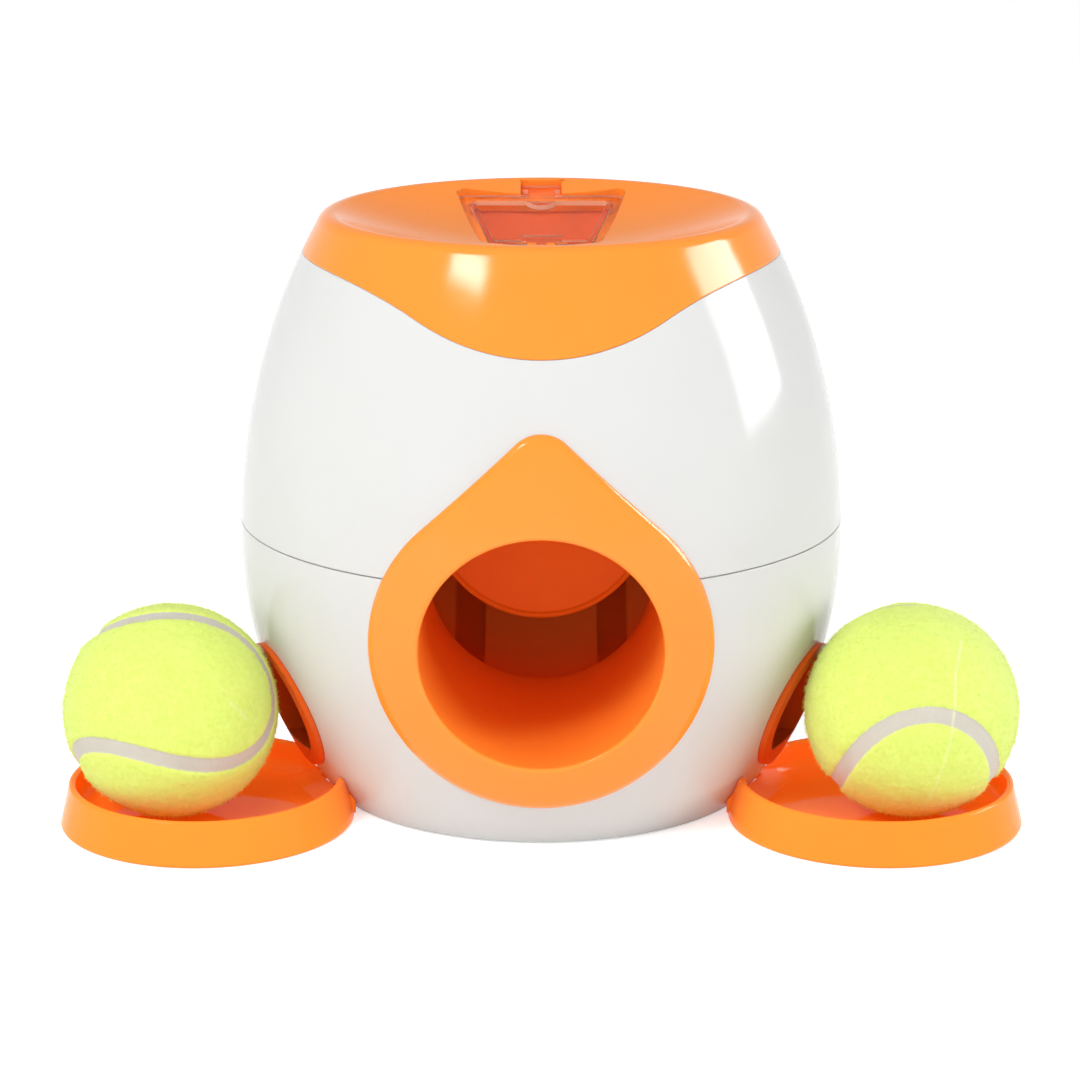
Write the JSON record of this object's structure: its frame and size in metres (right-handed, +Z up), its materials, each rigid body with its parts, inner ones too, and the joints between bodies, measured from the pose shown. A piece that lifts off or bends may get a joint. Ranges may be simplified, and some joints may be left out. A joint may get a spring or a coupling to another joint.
{
  "type": "ball operated treat dispenser for dogs",
  "caption": "Barrel-shaped treat machine with a ball tunnel in front, a lidded dish on top and a lift-off tray with a ball at each side.",
  "frame": {"origin": "on the floor under the middle of the barrel", "axes": "+Z up; -Y is the front with the tunnel; +X is to the right seen from the front"},
  "size_m": [0.292, 0.187, 0.1799],
  "materials": {
    "white_shell": "glossy moulded ABS",
    "orange_plastic": "glossy moulded ABS",
    "inner_plastic": "smooth moulded ABS",
    "clear_lid": "clear moulded polycarbonate",
    "acetal": "satin acetal",
    "steel": "plain zinc-plated steel",
    "rubber_pad": "matt rubber",
    "ball_rubber": "moulded rubber",
    "ball_felt": "napped felt"
  },
  "bodies": {
    "housing": {"lower_shell": "white_shell", "upper_shell": "white_shell", "dish_cap": "orange_plastic", "hatch_hinge_pin": "orange_plastic", "entry_plate": "orange_plastic", "entry_tunnel": "orange_plastic", "tunnel_collar": "orange_plastic", "backstop_cup": "orange_plastic", "outlet_frame_left": "orange_plastic", "outlet_frame_right": "orange_plastic", "treat_hopper": "orange_plastic", "treat_splitter": "inner_plastic", "chute_left": "orange_plastic", "chute_right": "orange_plastic", "base_plate": "white_shell", "rubber_feet": "rubber_pad", "base_screws": "steel", "shell_screws": "steel", "hopper_screws": "steel", "tunnel_screws": "steel", "shaft_bushes": "acetal", "rotor_bushes": "acetal"},
    "hatch": {"hatch_lid": "clear_lid"},
    "paddle": {"paddle_flap": "orange_plastic", "paddle_weight": "steel", "weight_screws": "steel", "paddle_shaft": "steel", "shaft_clips": "steel", "paddle_gear": "acetal"},
    "rotor": {"treat_rotor": "acetal", "rotor_shaft": "steel", "rotor_pinion": "acetal"},
    "left_tray": {"tray_left": "orange_plastic"},
    "right_tray": {"tray_right": "orange_plastic"},
    "left_ball": {"ball_core_left": "ball_rubber", "ball_felt_left": "ball_felt"},
    "right_ball": {"ball_core_right": "ball_rubber", "ball_felt_right": "ball_felt"}
  },
  "joints": [
    {"name": "hatch_hinge", "type": "hinge", "parent": "housing", "child": "hatch", "pos_m": [0, 0.00872, 0.16657], "axis": [1, 0, 0], "range_deg": [0, 95]},
    {"name": "paddle_swing", "type": "hinge", "parent": "housing", "child": "paddle", "pos_m": [0, 0.002, 0.108], "axis": [1, 0, 0], "range_deg": [0, 40]},
    {"name": "rotor_turn", "type": "hinge", "parent": "housing", "child": "rotor", "pos_m": [0, 0.013, 0.14017], "axis": [1, 0, 0], "range_deg": [-120, 0]},
    {"name": "left_tray_slide", "type": "slide", "parent": "housing", "child": "left_tray", "axis": [-0.9184, -0.3955, 0], "range_m": [0, 0.06]},
    {"name": "right_tray_slide", "type": "slide", "parent": "housing", "child": "right_tray", "axis": [0.9184, -0.3955, 0], "range_m": [0, 0.06]},
    {"name": "left_ball_lift", "type": "slide", "parent": "left_tray", "child": "left_ball", "axis": [-0.3879, -0.1678, 0.9063], "range_m": [0, 0.08]},
    {"name": "right_ball_lift", "type": "slide", "parent": "right_tray", "child": "right_ball", "axis": [0.3879, -0.1678, 0.9063], "range_m": [0, 0.08]}
  ],
  "couplings": [
    {"joint": "rotor_turn", "follows": "paddle_swing", "ratio": -3}
  ]
}
